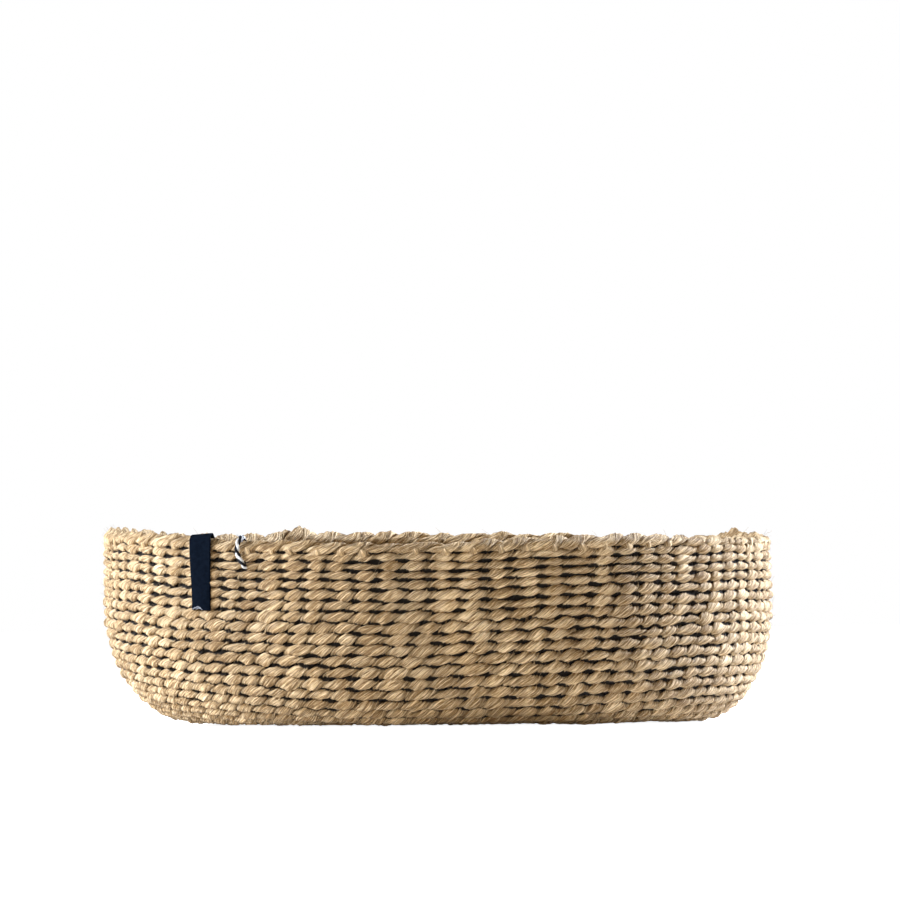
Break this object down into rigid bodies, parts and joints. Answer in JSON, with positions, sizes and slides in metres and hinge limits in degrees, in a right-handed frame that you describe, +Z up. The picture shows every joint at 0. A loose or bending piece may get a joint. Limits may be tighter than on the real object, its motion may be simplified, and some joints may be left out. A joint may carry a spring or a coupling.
{
  "type": "woven bowl",
  "caption": "Shallow round bowl of twined sisal, with soft lower corners, a closed rim, a folded tape label and a short twine loop.",
  "frame": {"origin": "Middle of the bowl's outline, on the surface that it stands on.", "axes": "+Z is up, out of the bowl's opening. -Y is the front, as in the picture, and +X is to its right."},
  "size_m": [0.3584, 0.3584, 0.1051],
  "materials": {
    "sisal": "twisted natural sisal fibre, dry and matt, uneven beige",
    "stake_sisal": "natural sisal bundle, dry and matt",
    "label_tape": "dark navy woven cotton tape, plain",
    "grey_thread": "grey sewing thread",
    "two_tone_twine": "black and white twisted cotton twine"
  },
  "bodies": {
    "root": {"start_knot": "sisal", "base_weave_under": "sisal", "base_weave_over": "sisal", "course_01_outer": "sisal", "course_01_inner": "sisal", "course_02_outer": "sisal", "course_02_inner": "sisal", "course_03_outer": "sisal", "course_03_inner": "sisal", "course_04_outer": "sisal", "course_04_inner": "sisal", "course_05_outer": "sisal", "course_05_inner": "sisal", "course_06_outer": "sisal", "course_06_inner": "sisal", "course_07_outer": "sisal", "course_07_inner": "sisal", "course_08_outer": "sisal", "course_08_inner": "sisal", "course_09_outer": "sisal", "course_09_inner": "sisal", "course_10_outer": "sisal", "course_10_inner": "sisal", "course_11_outer": "sisal", "course_11_inner": "sisal", "course_12_outer": "sisal", "course_12_inner": "sisal", "course_13_outer": "sisal", "course_13_inner": "sisal", "course_14_outer": "sisal", "course_14_inner": "sisal", "course_15_outer": "sisal", "course_15_inner": "sisal", "course_16_outer": "sisal", "course_16_inner": "sisal", "course_17_outer": "sisal", "course_17_inner": "sisal", "course_18_outer": "sisal", "course_18_inner": "sisal", "course_19_outer": "sisal", "course_19_inner": "sisal", "course_20_outer": "sisal", "course_20_inner": "sisal", "rim_outer": "sisal", "rim_inner": "sisal", "stake_group_01": "stake_sisal", "stake_group_02": "stake_sisal", "stake_group_03": "stake_sisal", "stake_group_04": "stake_sisal", "stake_group_05": "stake_sisal", "stake_group_06": "stake_sisal", "stake_group_07": "stake_sisal", "stake_group_08": "stake_sisal", "stake_group_09": "stake_sisal", "stake_group_10": "stake_sisal", "label_tape": "label_tape", "label_stitch": "grey_thread", "twine_loop": "two_tone_twine"}
  },
  "joints": []
}
